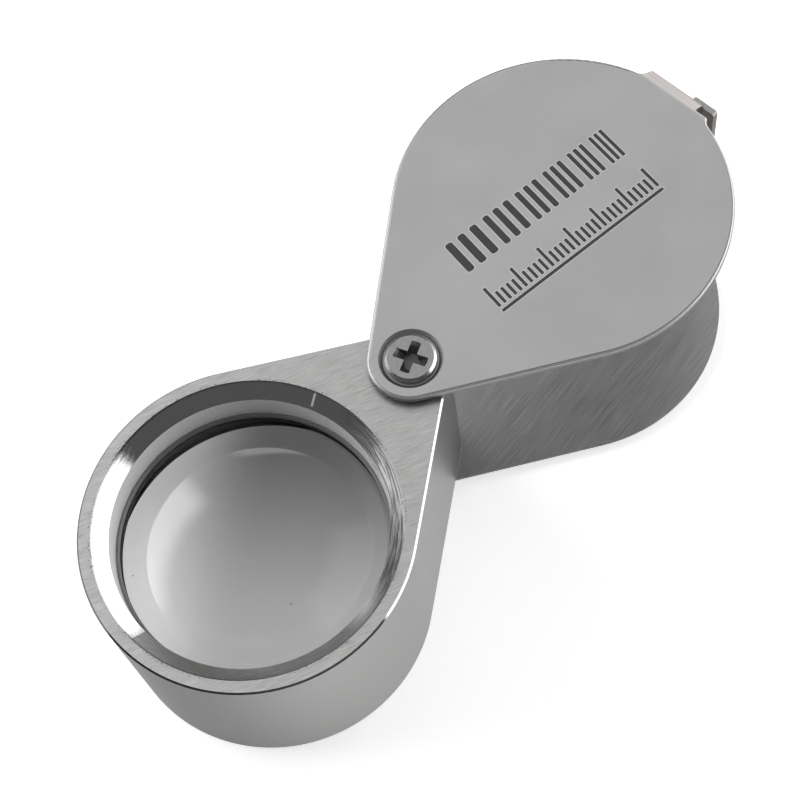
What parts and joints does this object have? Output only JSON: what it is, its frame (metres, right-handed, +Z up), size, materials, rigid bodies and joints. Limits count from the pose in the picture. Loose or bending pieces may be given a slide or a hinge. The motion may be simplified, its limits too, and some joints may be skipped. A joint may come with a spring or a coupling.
{
  "type": "folding pocket loupe",
  "caption": "Folding hand loupe: a three-element lens in a teardrop metal block that swings out of a bent sheet-steel cover.",
  "frame": {"origin": "on the pivot axis, at the face the loupe rests on", "axes": "+Z up along the pivot axis; +X along the cover, from the pivot to the bridge"},
  "size_m": [0.0618, 0.0264, 0.0186],
  "materials": {
    "cover_steel": "satin stainless sheet, stamped edges",
    "block_metal": "brushed faces and sides, polished mouths",
    "screw_steel": "turned and bright",
    "washer_plastic": "thin dark nylon",
    "bush_brass": "plain",
    "ring_black": "blackened",
    "lens_glass": "polished, clear"
  },
  "bodies": {
    "cover_body": {"cover": "cover_steel", "pivot_screw": "screw_steel", "pivot_post": "screw_steel", "front_washer": "washer_plastic", "rear_washer": "washer_plastic"},
    "block_body": {"lens_block": "block_metal", "pivot_bush": "bush_brass", "front_retaining_ring": "ring_black", "rear_retaining_ring": "ring_black", "front_seat_ring": "ring_black", "rear_seat_ring": "ring_black", "front_lens": "lens_glass", "middle_lens": "lens_glass", "rear_lens": "lens_glass"}
  },
  "joints": [
    {"name": "block_swing", "type": "hinge", "parent": "cover_body", "child": "block_body", "pos_m": [0, 0, 0], "axis": [0, 0, 1], "continuous": true}
  ]
}
